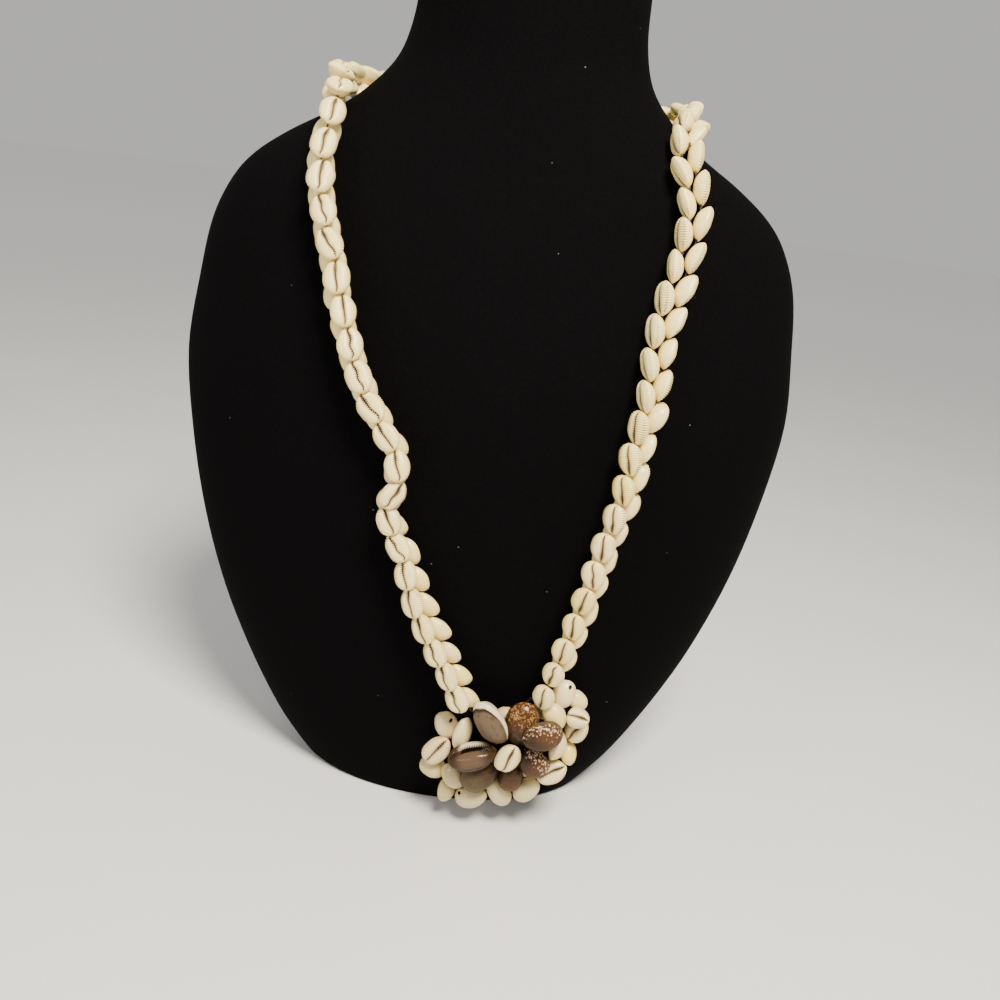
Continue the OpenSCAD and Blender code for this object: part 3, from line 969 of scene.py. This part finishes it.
class SHELL_LEI_OT_strands(bpy.types.Operator):
    """Seat the strung cowries of both strands"""

    bl_idname = "shell_lei.strands"
    bl_label = "Strands of Cowries"

    def execute(self, context):
        settings = context.scene.lei_cowries
        form = CowrieForm(settings.teeth, settings.tooth_reach, settings.ridge_high)
        material = white_shell("cream_cowrie", settings, settings.cream, settings.hump)
        for seed, (node, lean) in enumerate(STRANDS.items(), STRAND_SEED):
            piece = shell_mesh(node + "_cowries", form, seats(node), np.random.default_rng(seed),
                               {**WHITE_MOUTH, "lean": lean}, SWING)
            settle(piece, material, "white_cowrie", node)
        return {"FINISHED"}


class SHELL_LEI_OT_rim(bpy.types.Operator):
    """Seat the white cowries round the flower and the one in its heart"""

    bl_idname = "shell_lei.rim"
    bl_label = "Rim and Heart"

    def execute(self, context):
        settings = context.scene.lei_cowries
        form = CowrieForm(settings.teeth, settings.tooth_reach, settings.ridge_high)
        cream = self.cream("rim_cowrie", settings, 1.0)
        looks = {}
        for name, (share, nodes) in RIM_TONES.items():
            looks.update(dict.fromkeys(nodes, self.cream(name, settings, share)))
        looks[YELLOW_RIM] = white_shell("yellow_cowrie", settings, settings.yellow, settings.yellow)
        hole_wall_shade = hole_lining(settings.stain)
        for seed, node in enumerate([HEART] + RIMS, RIM_SEED):
            places = seats(node)
            piece = shell_mesh(node + "_cowrie", form, places, np.random.default_rng(seed), WHITE_MOUTH)
            piece.data.materials.append(looks.get(node, cream))
            if node in HOLES:
                drill(piece, places[0], *HOLES[node], hole_wall_shade)
            settle(piece, None, "yellow_cowrie" if node == YELLOW_RIM else "white_cowrie", node)
        return {"FINISHED"}

    def cream(self, name, settings, share):
        """The flower's cream shell, scaled by a share: below one as painted shade, above one as painted
        light.
        """
        base, hump = scaled(settings.flower, share), scaled(settings.flower_hump, share)
        return white_shell(name, settings, base, hump, warmth=0.3)


class SHELL_LEI_OT_petals(bpy.types.Operator):
    """Seat the brown cowries that are the flower's petals"""

    bl_idname = "shell_lei.petals"
    bl_label = "Petals"

    def execute(self, context):
        settings = context.scene.lei_petals
        form = CowrieForm(settings.teeth, settings.tooth_reach, settings.ridge_high)
        slots = {entry["node"]: entry["material_slot"] for entry in frame["record"]["subparts"]}
        for seed, node in enumerate(PETALS, PETAL_SEED):
            piece = shell_mesh(node + "_cowrie", form, seats(node), np.random.default_rng(seed),
                               {**PETAL_MOUTH, **PETAL_FORMS.get(node, {})})
            settle(piece, petal_shell(node, settings.gloss), slots[node], node)
        return {"FINISHED"}


class SHELL_LEI_OT_stage(bpy.types.Operator):
    """Set the pale floor, the soft lights and the camera"""

    bl_idname = "shell_lei.stage"
    bl_label = "Stage"

    def execute(self, context):
        settings = context.scene.lei_stage
        self.floor(context, settings)
        self.lights(context, settings)
        self.camera(context, settings)
        return {"FINISHED"}

    def floor(self, context, settings):
        """A wide round floor under the foot."""
        build = bmesh.new()
        bmesh.ops.create_circle(build, cap_ends=True, segments=FLOOR_SIDES, radius=FLOOR_RADIUS)
        mesh = bpy.data.meshes.new("studio_floor")
        build.to_mesh(mesh)
        build.free()
        mesh.materials.append(studio_floor(settings))
        piece = add_object("studio_floor", mesh)

    def lights(self, context, settings):
        """A warm soft key light from high in front, a fill from the left and even light all round."""
        low, high = CAD_BOX
        aim = (low + high) / 2
        for name, (spot, size, tint, setting) in LAMPS.items():
            data = bpy.data.lights.new(name, "AREA")
            data.shape = "DISK"
            data.size = size
            data.energy = getattr(settings, setting)
            data.color = tint
            lamp = add_object(name, data)
            lamp.location = spot
            lamp.rotation_mode = "QUATERNION"
            lamp.rotation_quaternion = (aim - Vector(spot)).to_track_quat("-Z", "Y")
        world = bpy.data.worlds.new("studio")
        world.use_nodes = True
        sky = next(n for n in world.node_tree.nodes if n.type == "BACKGROUND")
        sky.inputs["Color"].default_value = (*SKY_TINT, 1)
        sky.inputs["Strength"].default_value = settings.sky_power
        context.scene.world = world

    def camera(self, context, settings):
        """A camera before the chest, turned down and a little rolled."""
        data = bpy.data.cameras.new("camera")
        data.sensor_fit = "HORIZONTAL"
        data.sensor_width = SENSOR_WIDTH
        data.lens = settings.lens
        data.clip_start = NEAR_CLIP
        camera = add_object("camera", data)
        turn, slope, roll = settings.camera_turn, settings.camera_slope, settings.camera_roll
        yaw = turn + settings.camera_pan
        ahead = Vector((-math.sin(yaw) * math.cos(slope), math.cos(yaw) * math.cos(slope),
                        -math.sin(slope)))
        right = Vector((math.cos(yaw), math.sin(yaw), 0))
        up = right.cross(ahead)
        rolled_right = right * math.cos(roll) + up * math.sin(roll)
        rolled_up = up * math.cos(roll) - right * math.sin(roll)
        facing = Matrix((rolled_right, rolled_up, -ahead)).transposed()
        spot = Vector((settings.camera_away * math.sin(turn), -settings.camera_away * math.cos(turn),
                       settings.camera_high))
        camera.matrix_world = Matrix.Translation(spot) @ facing.to_4x4()
        context.scene.camera = camera


class SHELL_LEI_PT_panel(bpy.types.Panel):
    """The lei's settings and steps"""

    bl_idname = "SHELL_LEI_PT_panel"
    bl_label = "Shell Lei"
    bl_space_type = "VIEW_3D"
    bl_region_type = "UI"
    bl_category = "Shell Lei"

    def draw(self, context):
        scene = context.scene
        for step, settings in STEPS:
            box = self.layout.box()
            box.operator(step)
            for key in getattr(scene, settings).bl_rna.properties.keys():
                if key not in ("name", "rna_type"):
                    box.prop(getattr(scene, settings), key)


STEPS = (
    ("shell_lei.velvet_bust", "lei_bust"),
    ("shell_lei.threads", "lei_thread"),
    ("shell_lei.strands", "lei_cowries"),
    ("shell_lei.rim", "lei_cowries"),
    ("shell_lei.petals", "lei_petals"),
    ("shell_lei.stage", "lei_stage"),
)
SETTINGS = {
    "lei_cowries": CowrieSettings,
    "lei_petals": PetalSettings,
    "lei_bust": BustSettings,
    "lei_thread": ThreadSettings,
    "lei_stage": StageSettings,
}
CLASSES = (*SETTINGS.values(), SHELL_LEI_OT_velvet_bust, SHELL_LEI_OT_threads, SHELL_LEI_OT_strands,
           SHELL_LEI_OT_rim, SHELL_LEI_OT_petals, SHELL_LEI_OT_stage, SHELL_LEI_PT_panel)


def register():
    """Makes the settings, operators and panel known."""
    for each in CLASSES:
        bpy.utils.register_class(each)
    for name, group in SETTINGS.items():
        setattr(bpy.types.Scene, name, PointerProperty(type=group))


def unregister():
    """Takes them away again."""
    for name in SETTINGS:
        delattr(bpy.types.Scene, name)
    for each in reversed(CLASSES):
        bpy.utils.unregister_class(each)


def main():
    """Builds every piece and the stage."""
    register()
    bpy.ops.shell_lei.velvet_bust()
    bpy.ops.shell_lei.threads()
    bpy.ops.shell_lei.strands()
    bpy.ops.shell_lei.rim()
    bpy.ops.shell_lei.petals()
    bpy.ops.shell_lei.stage()


if __name__ == "__main__":
    main()
